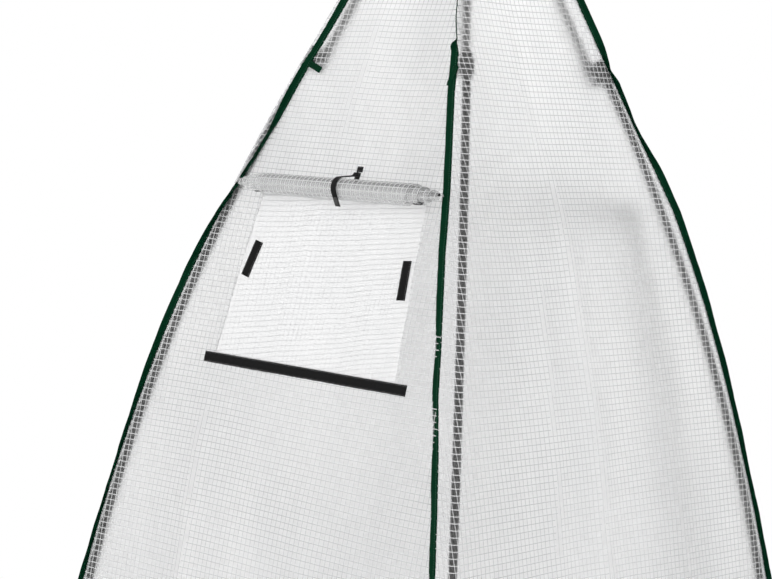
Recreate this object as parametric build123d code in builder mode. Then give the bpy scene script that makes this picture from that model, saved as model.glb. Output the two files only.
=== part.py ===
from build123d import *
from math import acos, atan, atan2, cos, radians, sin, sqrt
import os

os.makedirs("parts", exist_ok=True)

# Pop-up greenhouse tent: four bent corner poles, a hub on top and a clear cover of four panels.
# The origin is on the ground under the hub, the window panel faces -Y, and +Z is up.

# Driving dimensions of the frame, in millimetres
base_width = 1109        # between the feet of neighbouring poles
elbow_width = 406        # between neighbouring poles at their elbows
elbow_height = 1783      # top end of a lower pole
pole_bow = 109           # how far a lower pole bends out of its chord
hub_height = 2230        # pivots of the upper poles
hub_pivot = 40           # from the axis to those pivots
pole_radius = 8
foot_thickness = 6

# Elbow brackets, hub and pins
barrel_wall = 2.6
barrel_length = 46
barrel_cap = 4
arm_length = 37          # barrel of the elbow's arm, past the pin
cheek_thickness = 3
cheek_margin = 9         # cheek round the pin
cheek_half_height = 16
pin_radius = 3
pin_head_radius = 5.5
pin_head_thickness = 2.5
hub_radius = 26
hub_thickness = 24
hub_arm_margin = 12      # arm past its pivot
tongue_length = 34
tongue_thickness = 8
tongue_margin = 7        # tongue round its pin
slide_gap = 0.4          # beside a piece that turns
socket_gap = 0.3         # round a pole in its socket, for the pole's bend
pin_gap = 0.1

# Cover, modelled thicker than the real film
film_thickness = 2.4
film_gap = 0.5           # between the film and the frame
crown_rise = 10
seam_width = 14
seam_thickness = 2.4
tab_length = 40
tab_width = 13
tab_thickness = 2.4
tab_height = 1745
hem_height = 40
hem_thickness = 2

# Window in the front panel, with its rolled-up flap
window_bottom = 1170
window_top = 1496
window_bottom_width = 490
window_top_width = 436
strip_width = 21
strip_thickness = 2
bottom_strip_length = 550
side_strip_length = 72
side_strip_top = 1393
side_strip_insets = {"left": (28, 15), "right": (3, 0)}   # from the window's edge, top and bottom
roll_radius = 21
roll_width = 380
roll_shoulder_width = 450
roll_shoulder_radius = 14
roll_core_width = 554
roll_core_radius = 5
roll_height = 1508
strap_width = 13
strap_thickness = 2
strap_rise = 38          # sewn end above the roll's axis
strap_block = 14
strap_tail = 24
strap_offset = 32        # from the middle of the panel
strap_wrap = 110         # degrees that it follows the roll, from the top of the roll's axis

# Doorway in the back panel, closed by a zipped leaf
door_top = 1480
door_bottom_width = 760
door_top_width = 430
zip_width = 26
zip_thickness = 2
soft_gap = 0.3

UP = Vector(0, 0, 1)
SIDES = {"front": 0, "right": 90, "back": 180, "left": 270}
CORNERS = {"front_right": 45, "back_right": 135, "back_left": 225, "front_left": 315}
SEAMS = {"front_right": ("front", 48), "back_right": ("back", 0),
         "back_left": ("back", 0), "front_left": ("front", 28)}   # panel, and distance from the corner
REACH = 3 * base_width   # longer than any cut needs


def outward(turn):
    """Level unit vector at a turn about the axis, 0 being the window side."""
    return Vector(sin(radians(turn)), -cos(radians(turn)), 0)


def radial_plane(turn):
    """Upright plane through the axis: local X points outward and local Y points up."""
    return Plane(origin=(0, 0, 0), x_dir=outward(turn), z_dir=outward(turn).cross(UP))


def face_plane(turn):
    """Upright plane through the axis that faces outward, with local X along the side."""
    return Plane(origin=(0, 0, 0), x_dir=outward(turn + 90), z_dir=outward(turn))


def in_space(turn, point):
    """Point of a radial plane, as a place in space."""
    return outward(turn) * point.X + UP * point.Y


def flat(*points):
    """The same points as pairs, which a line on a plane takes as its own."""
    return [(point.X, point.Y) for point in points]


def square_plane(turn, point, along):
    """Plane square to a direction of the radial plane, at one of its points."""
    return Plane(origin=in_space(turn, point), x_dir=outward(turn + 90), z_dir=in_space(turn, along))


# Lower pole: an arc in its corner's radial plane, as distance from the axis and height
foot_end = Vector(base_width / sqrt(2), foot_thickness)
elbow_end = Vector(elbow_width / sqrt(2), elbow_height)
chord = elbow_end - foot_end
chord_normal = Vector(chord.Y, -chord.X).normalized()
pole_middle = (foot_end + elbow_end) * 0.5 + chord_normal * pole_bow
bend_radius = (chord.length ** 2 / 4 + pole_bow ** 2) / (2 * pole_bow)
bend_centre = pole_middle - chord_normal * bend_radius


def square_to(direction):
    """Direction a quarter turn on, from pointing outward to pointing up the pole."""
    return Vector(-direction.Y, direction.X)


foot_along = square_to((foot_end - bend_centre).normalized())
chord_along = square_to(chord_normal)
elbow_normal = (elbow_end - bend_centre).normalized()
elbow_along = square_to(elbow_normal)

# Upper pole: straight, beside the top of the lower pole, up to the hub
barrel_radius = pole_radius + barrel_wall
hub_point = Vector(hub_pivot, hub_height)
side_by_side = elbow_end - elbow_normal * 2 * barrel_radius - elbow_along * (barrel_length / 2)
lean_out = max(0, (hub_point - side_by_side).normalized().dot(elbow_normal))
elbow_spacing = 2 * barrel_radius + 2 * slide_gap + lean_out * barrel_length
pin_point = elbow_end - elbow_normal * elbow_spacing - elbow_along * (barrel_length / 2)
upper_along = (hub_point - pin_point).normalized()
upper_start = pin_point + upper_along * (pin_radius + barrel_wall)
upper_end = hub_point - upper_along * tongue_length
cheek_inside = barrel_radius + slide_gap
cheek_outside = cheek_inside + cheek_thickness
cheek_end = -elbow_spacing - cheek_margin
cheek_top = -barrel_length / 2 + cheek_half_height
cheek_foot = -barrel_length / 2 - cheek_half_height
slot_start = -barrel_radius - slide_gap


def elbow_point(across, along):
    """Point of the radial plane, measured from the top end of the lower pole."""
    return elbow_end + elbow_normal * across + elbow_along * along


# Hub arms and the rim of the cover above them
slot_width = tongue_thickness + 2 * slide_gap
arm_width = slot_width + 2 * cheek_thickness
hub_reach = hub_pivot + hub_arm_margin
rim_half_width = (hub_reach + arm_width / 2) / sqrt(2) + 2 * film_gap
rim_height = hub_height + hub_thickness / 2 + 4 * film_gap


def section_point(pole_point, along, reach):
    """Point of a panel's section, at a distance from the axis of a corner pole."""
    lean = atan(-along.X / along.Y / sqrt(2))
    return (pole_point.X / sqrt(2) + reach * cos(lean), pole_point.Y + reach * sin(lean))


def section_points(grow):
    """Corners of the cover's section, grown outward from the film's inner face."""
    on_pole = pole_radius + film_gap + grow
    on_barrel = barrel_radius + film_gap + grow
    foot = (foot_end.X / sqrt(2) + on_pole, 0)
    middle = section_point(pole_middle, chord_along, on_pole)
    barrel_low = section_point(elbow_end - elbow_along * barrel_length, elbow_along, on_barrel)
    barrel_high = section_point(elbow_end + elbow_along * barrel_cap, elbow_along, on_barrel)
    rim = (rim_half_width + grow, rim_height + grow / 2)
    crown = (0, rim_height + crown_rise + grow)
    return foot, middle, barrel_low, barrel_high, rim, crown


foot, middle, barrel_low = section_points(0)[:3]
film_arc = ThreePointArc(foot, middle, barrel_low)
film_centre = film_arc.arc_center
film_radius = film_arc.radius


def film_half_width(height, grow=0):
    """Distance from the axis to the film's inner face, below the elbows."""
    return film_centre.X + sqrt((film_radius + grow) ** 2 - (height - film_centre.Y) ** 2)


def skin(turn, inside, outside):
    """Layer of one side of the tent, mitred along both corners, between two distances."""
    with BuildSketch(radial_plane(turn)) as section:
        for grow, mode in ((outside, Mode.ADD), (inside, Mode.SUBTRACT)):
            foot, middle, barrel_low, barrel_high, rim, crown = section_points(grow)
            with BuildLine():
                ThreePointArc(foot, middle, barrel_low)
                Polyline(barrel_low, barrel_high, rim, crown, (0, 0), foot)
            make_face(mode=mode)
    extrude(section.sketch, amount=base_width, both=True)
    left = outward(turn - 45) * REACH
    right = outward(turn + 45) * REACH
    with BuildSketch() as quarter:
        Polygon((0, 0), (left.X, left.Y), (right.X, right.Y), align=None)
    extrude(quarter.sketch, amount=REACH, mode=Mode.INTERSECT)


def trapezoid(bottom_width, top_width, bottom, top, mode=Mode.ADD):
    """Upright trapezoid, centred on the side."""
    Polygon((-bottom_width / 2, bottom), (bottom_width / 2, bottom),
            (top_width / 2, top), (-top_width / 2, top), align=None, mode=mode)


def keep(mode=Mode.INTERSECT):
    """Trim the skin to the outline that was just drawn on its side."""
    extrude(amount=REACH, mode=mode)


def keep_strip(corner, side, start, end, bottom, top):
    """Trim the skin to a strip beside a corner, between two distances along the side."""
    into = outward(corner - 135 if side < corner else corner + 135)
    near, far = into * start, into * end
    run = outward(corner) * REACH
    with BuildSketch(Plane.XY.offset(bottom)) as strip:
        Polygon(*flat(near, near + run, far + run, far), align=None)
    extrude(strip.sketch, amount=top - bottom, mode=Mode.INTERSECT)


def save(part, name):
    """Name one piece and write it."""
    part.label = name
    export_step(part, f"parts/{name}.step")


# Poles, feet and elbow brackets, one set to a corner
for corner, turn in CORNERS.items():
    with BuildPart() as lower_pole:
        with BuildLine(radial_plane(turn)):
            ThreePointArc(*flat(foot_end, pole_middle, elbow_end))
        with BuildSketch(square_plane(turn, foot_end, foot_along)):
            Circle(pole_radius)
        sweep()
    save(lower_pole.part, f"lower_pole_{corner}")

    with BuildPart() as upper_pole:
        with BuildSketch(square_plane(turn, upper_start, upper_along)):
            Circle(pole_radius)
        extrude(amount=(upper_end - upper_start).length)
        # Flat tongue that turns in the hub
        with BuildSketch(radial_plane(turn)):
            with Locations(hub_point):
                Circle(tongue_margin)
            with BuildLine():
                side = Vector(upper_along.Y, -upper_along.X) * tongue_margin
                Polyline(hub_point + side, hub_point - side, upper_end - side, upper_end + side, close=True)
            make_face()
        extrude(amount=tongue_thickness / 2, both=True)
        with BuildSketch(radial_plane(turn)):
            with Locations(hub_point):
                Circle(pin_radius + pin_gap)
        extrude(amount=tongue_thickness, both=True, mode=Mode.SUBTRACT)
    save(upper_pole.part, f"upper_pole_{corner}")

    with BuildPart() as elbow_socket:
        with BuildSketch(square_plane(turn, elbow_end, elbow_along)):
            Circle(barrel_radius)
        extrude(amount=-barrel_length)
        with BuildSketch(square_plane(turn, elbow_end, elbow_along)):
            Circle(barrel_radius)
        extrude(amount=barrel_cap, taper=20)
        # Two cheeks that carry the pin, with the upper pole's barrel between them
        with BuildSketch(radial_plane(turn)):
            with BuildLine():
                Polyline(elbow_point(0, cheek_top), elbow_point(cheek_end, cheek_top),
                         elbow_point(cheek_end, cheek_foot), elbow_point(0, cheek_foot), close=True)
            make_face()
            tips = vertices().sort_by_distance(in_space(turn, elbow_point(cheek_end, cheek_top)))[:1]
            tips += vertices().sort_by_distance(in_space(turn, elbow_point(cheek_end, cheek_foot)))[:1]
            fillet(tips, radius=cheek_margin)
        extrude(amount=cheek_outside, both=True)
        with BuildSketch(radial_plane(turn)):
            with BuildLine():
                Polyline(elbow_point(slot_start, barrel_length), elbow_point(-REACH, barrel_length),
                         elbow_point(-REACH, -REACH), elbow_point(slot_start, -REACH), close=True)
            make_face()
        extrude(amount=cheek_inside, both=True, mode=Mode.SUBTRACT)
        with BuildSketch(square_plane(turn, elbow_end, elbow_along)):
            Circle(pole_radius + socket_gap)
        extrude(amount=-2 * barrel_length, mode=Mode.SUBTRACT)
        with BuildSketch(radial_plane(turn)):
            with Locations(pin_point):
                Circle(pin_radius + pin_gap)
        extrude(amount=REACH, both=True, mode=Mode.SUBTRACT)
    save(elbow_socket.part, f"elbow_socket_{corner}")

    with BuildPart() as elbow_arm:
        with BuildSketch(square_plane(turn, pin_point, upper_along)):
            Circle(barrel_radius)
        extrude(amount=arm_length)
        with BuildSketch(square_plane(turn, pin_point, upper_along)):
            Circle(barrel_radius)
        extrude(amount=-barrel_radius)
        chamfer(edges().filter_by(GeomType.CIRCLE).sort_by(Axis.Z)[0], length=barrel_radius / 3)
        with BuildSketch(square_plane(turn, upper_start, upper_along)):
            Circle(pole_radius + socket_gap)
        extrude(amount=REACH, mode=Mode.SUBTRACT)
        with BuildSketch(radial_plane(turn)):
            with Locations(pin_point):
                Circle(pin_radius + pin_gap)
        extrude(amount=REACH, both=True, mode=Mode.SUBTRACT)
    save(elbow_arm.part, f"elbow_arm_{corner}")

# Pins of the four elbows
with BuildPart() as elbow_pins:
    for turn in CORNERS.values():
        with BuildSketch(radial_plane(turn)):
            with Locations(pin_point):
                Circle(pin_radius)
        extrude(amount=cheek_outside, both=True)
        for end in (-cheek_outside, cheek_outside):
            with BuildSketch(radial_plane(turn).offset(end)):
                with Locations(pin_point):
                    Circle(pin_head_radius)
            extrude(amount=pin_head_thickness if end > 0 else -pin_head_thickness)
save(elbow_pins.part, "elbow_pins")

# Feet: a sole on the ground under each lower pole
with BuildPart() as pole_feet:
    for turn in CORNERS.values():
        with BuildSketch(square_plane(turn, foot_end, foot_along)):
            Circle(pole_radius)
        extrude(amount=-2 * foot_thickness)
    split(bisect_by=Plane.XY, keep=Keep.TOP)
save(pole_feet.part, "pole_feet")

# Hub: a round boss with four slotted arms
with BuildPart() as top_hub:
    hub_floor = Plane.XY.offset(hub_height - hub_thickness / 2)
    with BuildSketch(hub_floor):
        Circle(hub_radius)
        with PolarLocations(0, 2, start_angle=45, angular_range=180):
            Rectangle(2 * hub_reach, arm_width)
    extrude(amount=hub_thickness)
    with BuildSketch(hub_floor):
        with PolarLocations(hub_pivot - tongue_margin - cheek_thickness, 4, start_angle=45):
            Rectangle(REACH, slot_width, align=(Align.MIN, Align.CENTER))
    extrude(amount=hub_thickness, mode=Mode.SUBTRACT)
    for turn in CORNERS.values():
        with BuildSketch(radial_plane(turn)):
            with Locations(hub_point):
                Circle(pin_radius + pin_gap)
        extrude(amount=arm_width, both=True, mode=Mode.SUBTRACT)
save(top_hub.part, "top_hub")

with BuildPart() as hub_pins:
    for turn in CORNERS.values():
        with BuildSketch(radial_plane(turn)):
            with Locations(hub_point):
                Circle(pin_radius)
        extrude(amount=arm_width / 2, both=True)
save(hub_pins.part, "hub_pins")

# Cover panels: the window is cut through the front one and the doorway through the back one
with BuildPart() as front_panel:
    skin(SIDES["front"], 0, film_thickness)
    with BuildSketch(face_plane(SIDES["front"])):
        trapezoid(window_bottom_width, window_top_width, window_bottom, window_top)
    keep(Mode.SUBTRACT)
save(front_panel.part, "front_panel")

with BuildPart() as window_screen:
    skin(SIDES["front"], 0, film_thickness)
    with BuildSketch(face_plane(SIDES["front"])):
        trapezoid(window_bottom_width, window_top_width, window_bottom, window_top)
    keep()
save(window_screen.part, "window_screen")

with BuildPart() as right_panel:
    skin(SIDES["right"], 0, film_thickness)
save(right_panel.part, "right_panel")

with BuildPart() as left_panel:
    skin(SIDES["left"], 0, film_thickness)
save(left_panel.part, "left_panel")

with BuildPart() as back_panel:
    skin(SIDES["back"], 0, film_thickness)
    with BuildSketch(face_plane(SIDES["back"])):
        trapezoid(door_bottom_width, door_top_width, 0, door_top)
    keep(Mode.SUBTRACT)
save(back_panel.part, "back_panel")

with BuildPart() as door_leaf:
    skin(SIDES["back"], 0, film_thickness)
    with BuildSketch(face_plane(SIDES["back"])):
        trapezoid(door_bottom_width, door_top_width, 0, door_top)
    keep()
save(door_leaf.part, "door_leaf")

# Zip along the doorway's sides and top, above the hem
with BuildPart() as door_zip:
    skin(SIDES["back"], film_thickness, film_thickness + zip_thickness)
    with BuildSketch(face_plane(SIDES["back"])):
        trapezoid(door_bottom_width + zip_width, door_top_width + zip_width,
                  hem_height, door_top + zip_width / 2)
        trapezoid(door_bottom_width - zip_width, door_top_width - zip_width,
                  hem_height, door_top - zip_width / 2, Mode.SUBTRACT)
    keep()
save(door_zip.part, "door_zip")

# Hems round the bottom edge; the back one stops at the leaf, which has its own
for side, turn in SIDES.items():
    with BuildPart() as base_hem:
        skin(turn, film_thickness, film_thickness + hem_thickness)
        with BuildSketch(face_plane(turn)):
            trapezoid(REACH, REACH, 0, hem_height)
            if side == "back":
                trapezoid(door_bottom_width, door_bottom_width, 0, hem_height, Mode.SUBTRACT)
        keep()
    save(base_hem.part, f"base_hem_{side}")

with BuildPart() as door_hem:
    skin(SIDES["back"], film_thickness, film_thickness + hem_thickness)
    with BuildSketch(face_plane(SIDES["back"])):
        trapezoid(door_bottom_width - 2 * soft_gap, door_bottom_width - 2 * soft_gap, 0, hem_height)
    keep()
save(door_hem.part, "door_hem")

# Seam bindings: a fin up each corner, with a webbing tab sewn in at elbow height
seam_reach = seam_thickness * sqrt(2)
for corner, turn in CORNERS.items():
    side, shift = SEAMS[corner]
    side_turn = turn - 45 if (turn - 45) % 360 == SIDES[side] else turn + 45
    with BuildPart() as seam:
        skin(side_turn, film_thickness, film_thickness + seam_width / sqrt(2))
        keep_strip(turn, side_turn, shift, shift + seam_reach, hem_height, rim_height - crown_rise)
    save(seam.part, f"seam_{corner}")

    with BuildPart() as seam_tab:
        skin(side_turn, film_thickness, film_thickness + tab_thickness)
        keep_strip(turn, side_turn, shift + seam_reach, shift + seam_reach + tab_length,
                   tab_height - tab_width / 2, tab_height + tab_width / 2)
    save(seam_tab.part, f"seam_tab_{corner}")

# Hook-and-loop strips: one under the window and two on its side edges
with BuildPart() as bottom_strip:
    skin(SIDES["front"], film_thickness, film_thickness + strip_thickness)
    with BuildSketch(face_plane(SIDES["front"])):
        trapezoid(bottom_strip_length, bottom_strip_length, window_bottom - strip_width, window_bottom)
    keep()
save(bottom_strip.part, "bottom_strip")


def window_edge(height):
    """Distance from the middle of the window to its slanted edge."""
    share = (height - window_bottom) / (window_top - window_bottom)
    return (window_bottom_width + share * (window_top_width - window_bottom_width)) / 2


side_strip_low = side_strip_top - side_strip_length
for hand, sign in {"left": -1, "right": 1}.items():
    with BuildPart() as side_strip:
        skin(SIDES["front"], film_thickness, film_thickness + strip_thickness)
        with BuildSketch(face_plane(SIDES["front"])):
            top_edge = window_edge(side_strip_top) - side_strip_insets[hand][0]
            low_edge = window_edge(side_strip_low) - side_strip_insets[hand][1]
            Polygon((sign * low_edge, side_strip_low), (sign * top_edge, side_strip_top),
                    (sign * (top_edge - strip_width), side_strip_top),
                    (sign * (low_edge - strip_width), side_strip_low), align=None)
        keep()
    save(side_strip.part, f"side_strip_{hand}")

# Rolled-up flap over the window: a roll that thins towards both ends of its core
roll_normal = (Vector(film_half_width(roll_height), roll_height) - film_centre).normalized()
roll_centre = film_centre + roll_normal * (film_radius + film_thickness + soft_gap + roll_radius)
with BuildPart() as rolled_flap:
    roll_plane = Plane(origin=in_space(SIDES["front"], roll_centre), x_dir=(1, 0, 0), z_dir=UP)
    with BuildSketch(roll_plane):
        with BuildLine():
            Polyline((-roll_core_width / 2, 0), (-roll_core_width / 2, roll_core_radius),
                     (-roll_shoulder_width / 2, roll_shoulder_radius), (-roll_width / 2, roll_radius),
                     (roll_width / 2, roll_radius), (roll_shoulder_width / 2, roll_shoulder_radius),
                     (roll_core_width / 2, roll_core_radius), (roll_core_width / 2, 0), close=True)
        make_face()
    revolve(axis=Axis(roll_plane.origin, (1, 0, 0)))
save(rolled_flap.part, "rolled_flap")

# Tie strap: sewn to the panel above the roll, then over its front
roll_tangent = square_to(roll_normal)
strap_bend = roll_radius + soft_gap + strap_thickness / 2
block_depth = -roll_radius - soft_gap + strap_thickness / 2


def strap_point(rise, depth):
    """Point of the radial plane, measured from the roll's axis, up and out of the panel."""
    return roll_centre + roll_tangent * rise + roll_normal * depth


lift = atan2(block_depth, strap_rise)
release = radians(strap_wrap)
with BuildPart() as tie_strap:
    with BuildSketch(radial_plane(SIDES["front"]).offset(-strap_offset)):
        with BuildLine() as strap_line:
            sewn_end = strap_point(strap_rise, block_depth)
            contact = lift + acos(strap_bend / (sewn_end - roll_centre).length)
            on_roll = [strap_point(strap_bend * cos(a), strap_bend * sin(a))
                       for a in (contact, (contact + release) / 2, release)]
            tail_end = strap_point(strap_bend * cos(release) - strap_tail * sin(release),
                                   strap_bend * sin(release) + strap_tail * cos(release))
            Line(strap_point(strap_rise + strap_block, block_depth), sewn_end)
            Line(sewn_end, on_roll[0])
            ThreePointArc(*on_roll)
            Line(on_roll[2], tail_end)
        trace(line_width=strap_thickness)
    extrude(amount=strap_width / 2, both=True)
save(tie_strap.part, "tie_strap")
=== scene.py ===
# %% [markdown]
# # A pop-up greenhouse tent
# Four bent poles carry a cover of clear film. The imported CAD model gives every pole, bracket and
# panel its place, so this lesson starts by loading it and keeps all sizes in metres, with the
# origin on the ground under the hub. What is rigid keeps its CAD shape and gets a finish. What is
# cloth or film is cut flat, as a tailor would, and then hung where its CAD solid stands.

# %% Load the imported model
from math import ceil, copysign, cos, exp, pi, radians, sin, sqrt

import bmesh
import bpy
from mathutils import Matrix, Vector, noise


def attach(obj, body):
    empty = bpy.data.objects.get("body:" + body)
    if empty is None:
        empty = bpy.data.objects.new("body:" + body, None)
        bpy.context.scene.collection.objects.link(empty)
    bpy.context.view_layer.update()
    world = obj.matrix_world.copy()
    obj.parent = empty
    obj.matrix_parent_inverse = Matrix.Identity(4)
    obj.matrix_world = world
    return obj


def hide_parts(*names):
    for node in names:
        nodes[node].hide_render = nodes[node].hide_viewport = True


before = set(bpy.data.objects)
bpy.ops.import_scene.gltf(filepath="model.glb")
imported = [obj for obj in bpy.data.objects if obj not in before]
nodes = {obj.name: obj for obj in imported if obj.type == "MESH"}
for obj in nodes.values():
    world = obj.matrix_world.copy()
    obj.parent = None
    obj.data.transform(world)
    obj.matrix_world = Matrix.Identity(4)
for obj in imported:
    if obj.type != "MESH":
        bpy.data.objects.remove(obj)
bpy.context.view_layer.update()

scene = bpy.context.scene
MM = 0.001

# %% [markdown]
# ## The camera
# The photograph is a close view with a long lens from beside the tent's front right corner. The
# camera stands on a circle round the tent, and its own tilt and roll are set by three axes.

# %% Camera
view_turn = radians(41.44)
eye_distance, eye_height = 4.501, 1.703
pitch, yaw, roll = radians(-5.13), radians(-1.54), radians(2.95)
focal_pixels, picture_width, sensor_width = 2200, 772, 36

ahead = Vector((sin(yaw) * cos(pitch), cos(yaw) * cos(pitch), sin(pitch)))
level = Vector((cos(yaw), -sin(yaw), 0))
above = level.cross(ahead)
rightward = cos(roll) * level + sin(roll) * above
upward = cos(roll) * above - sin(roll) * level
eye_axes = Matrix((rightward, upward, -ahead)).transposed().to_4x4()

camera = bpy.data.objects.new("camera", bpy.data.cameras.new("camera"))
scene.collection.objects.link(camera)
camera.data.sensor_width = sensor_width
camera.data.lens = focal_pixels * sensor_width / picture_width
camera.matrix_world = (
    Matrix.Rotation(view_turn, 4, "Z") @ Matrix.Translation((0, -eye_distance, eye_height)) @ eye_axes
)
scene.camera = camera
print("the camera stands at", [round(x, 2) for x in camera.matrix_world.translation])

# %% [markdown]
# ## Stage and lamps
# The photograph was cut out on white, in an even, shadowless light. A white sky of full strength
# gives that light, and the floor turns into the same white away from the tent, for rays that look
# at it, while close by it stays a matt floor that takes the tent's shadow. Three weak softboxes
# add the sheen on tape, poles and folds.

# %% Stage and lamps
AMBIENT, FLOOR_SHADE, FLOOR_FADE = 1.0, 0.96, (0.85, 1.8)
FLOOR_HALF, LAMP_AIM = 40, 1.1   # half the floor's width, and the height that the lamps face


def looked_at(tree):
    """A socket that is 1 for camera, glossy and transmission rays, and otherwise 0."""
    path = tree.nodes.new("ShaderNodeLightPath")
    total = path.outputs["Is Camera Ray"]
    for kind in ("Is Glossy Ray", "Is Transmission Ray"):
        either = tree.nodes.new("ShaderNodeMath")
        either.operation = "MAXIMUM"
        tree.links.new(total, either.inputs[0])
        tree.links.new(path.outputs[kind], either.inputs[1])
        total = either.outputs[0]
    return total


scene.world = bpy.data.worlds.new("studio")
scene.world.use_nodes = True
tree = scene.world.node_tree
strength = tree.nodes.new("ShaderNodeMapRange")
strength.inputs["To Min"].default_value, strength.inputs["To Max"].default_value = AMBIENT, 1.0
tree.links.new(looked_at(tree), strength.inputs["Value"])
tree.links.new(strength.outputs[0], tree.nodes["Background"].inputs["Strength"])
tree.nodes["Background"].inputs["Color"].default_value = (1, 1, 1, 1)

floor = bpy.data.objects.new("floor", bpy.data.meshes.new("floor"))
bm = bmesh.new()
bmesh.ops.create_grid(bm, x_segments=1, y_segments=1, size=FLOOR_HALF)
bm.to_mesh(floor.data)
bm.free()
scene.collection.objects.link(floor)
ground = bpy.data.materials.new("floor")
ground.use_nodes = True
tree = ground.node_tree
tree.nodes.clear()
make = tree.nodes.new
place, span, far = make("ShaderNodeTexCoord"), make("ShaderNodeVectorMath"), make("ShaderNodeMapRange")
share, matt, glow = make("ShaderNodeMath"), make("ShaderNodeBsdfDiffuse"), make("ShaderNodeEmission")
blend, out = make("ShaderNodeMixShader"), make("ShaderNodeOutputMaterial")
span.operation, share.operation, far.interpolation_type = "LENGTH", "MULTIPLY", "SMOOTHSTEP"
far.inputs["From Min"].default_value, far.inputs["From Max"].default_value = FLOOR_FADE
matt.inputs["Color"].default_value = (FLOOR_SHADE, FLOOR_SHADE, FLOOR_SHADE, 1)
for source, target in (
    (place.outputs["Object"], span.inputs[0]), (span.outputs["Value"], far.inputs["Value"]),
    (far.outputs[0], share.inputs[0]), (looked_at(tree), share.inputs[1]),
    (share.outputs[0], blend.inputs[0]), (matt.outputs[0], blend.inputs[1]),
    (glow.outputs[0], blend.inputs[2]), (blend.outputs[0], out.inputs[0]),
):
    tree.links.new(source, target)
floor.data.materials.append(ground)


def softbox(name, azimuth, distance, height, size, power):
    """Square lamp that faces the tent."""
    lamp = bpy.data.lights.new(name, "AREA")
    lamp.size, lamp.energy = size, power
    made = bpy.data.objects.new(name, lamp)
    scene.collection.objects.link(made)
    turn = radians(azimuth)
    spot = Vector((distance * sin(turn), -distance * cos(turn), height))
    aim = spot - Vector((0, 0, LAMP_AIM))
    made.matrix_world = Matrix.Translation(spot) @ aim.to_track_quat("Z", "Y").to_matrix().to_4x4()


softbox("key", -15, 3.6, 3.2, 2.0, 22)
softbox("fill", 105, 3.8, 2.4, 2.0, 14)
softbox("back", 215, 4.0, 3.0, 2.0, 12)
scene.view_settings.view_transform = "Standard"
scene.cycles.transparent_max_bounces, scene.cycles.max_bounces = 32, 32
scene.cycles.transmission_bounces, scene.cycles.glossy_bounces, scene.cycles.diffuse_bounces = 24, 12, 6
print("a white sky, a floor and three softboxes")

# %% [markdown]
# ## Shader sums
# A finish is easier to read as a sum than as a web of nodes. One small class wraps a socket, so
# that Python's own signs add Math nodes, and one method makes every other node.


# %% Finish helpers
class Value:
    """An output of a node, on which Python's signs add Math nodes."""

    def __init__(self, finish, socket):
        self.finish, self.socket = finish, socket

    def math(self, operation, *values):
        return self.finish.node("Math", {"operation": operation}, dict(enumerate(values)))

    def __add__(self, other):
        return self.math("ADD", self, other)

    def __sub__(self, other):
        return self.math("SUBTRACT", self, other)

    def __rsub__(self, other):
        return self.math("SUBTRACT", other, self)

    def __mul__(self, other):
        return self.math("MULTIPLY", self, other)

    __radd__, __rmul__ = __add__, __mul__


class Finish:
    """A material made in code, with one Principled shader at its end."""

    def __init__(self, name, **constants):
        self.material = bpy.data.materials.new(name)
        self.material.use_nodes = True
        self.tree = self.material.node_tree
        self.shader = self.tree.nodes["Principled BSDF"]
        for socket, value in constants.items():
            self.shader.inputs[socket.replace("_", " ")].default_value = value

    def node(self, kind, settings, sockets, output=0):
        """One node: its type, its settings, and the values or links of its sockets."""
        made = self.tree.nodes.new("ShaderNode" + kind)
        for name, value in settings.items():
            setattr(made, name, value)
        for name, value in sockets.items():
            self.feed(made.inputs[name], value)
        return Value(self, made.outputs[output])

    def feed(self, socket, value):
        """Give a socket a value, or a link to another node."""
        if isinstance(value, Value):
            self.tree.links.new(value.socket, socket)
        else:
            socket.default_value = value

    def set(self, **sockets):
        """Feed the shader's own sockets."""
        for name, value in sockets.items():
            self.feed(self.shader.inputs[name.replace("_", " ")], value)

    def place(self, stretch=(1, 1, 1), uv=False):
        """Place on the object in metres, or on the flat cloth, stretched along its axes."""
        source = self.node("TexCoord", {}, {}, "UV" if uv else "Object")
        return self.node("Mapping", {}, {"Vector": source, "Scale": stretch})

    def split(self, vector, axis):
        """One coordinate of a place."""
        return self.node("SeparateXYZ", {}, {0: vector}, axis)

    def grain(self, where, scale, detail=2, roughness=0.5):
        """Soft noise from 0 to 1."""
        return self.node(
            "TexNoise", {}, {"Vector": where, "Scale": scale, "Detail": detail, "Roughness": roughness}
        )

    def steps(self, value, low, high):
        """Value's share of the way from low to high, smoothly, from 0 to 1."""
        settings = {"interpolation_type": "SMOOTHSTEP"}
        return self.node("MapRange", settings, {"Value": value, "From Min": low, "From Max": high})

    def mix(self, share, first, second):
        """Colour between two colours."""
        return self.node("Mix", {"data_type": "RGBA"}, {0: share, 6: first, 7: second}, 2)

    def look(self, share, first, second, roughness, relief=None):
        """Colour between two, roughness, and a bump's height from 0 to 1, strength and distance."""
        self.set(Base_Color=self.mix(share, first, second), Roughness=roughness)
        if relief:
            self.set(Normal=self.node("Bump", {}, dict(zip(("Height", "Strength", "Distance"), relief))))


def colour(red, green=None, blue=None):
    """Colour with full alpha, or a grey."""
    return (red, red if green is None else green, red if blue is None else blue, 1)


# %% [markdown]
# ## Film and yarn
# The real cover is a laminate: two thin films with a net of white yarns between them. Its fine
# crinkles scatter light, so a pole that touches the film stays sharp and one a metre behind it
# vanishes. Rough transmission does this by itself, where a plain alpha would show every far pole.
# The yarns are ribbons with a finish of their own. They lie on the film's outer face, because the
# rough film would blur them from inside. The film's IOR is lower than a real one's, to keep it pale.

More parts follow.
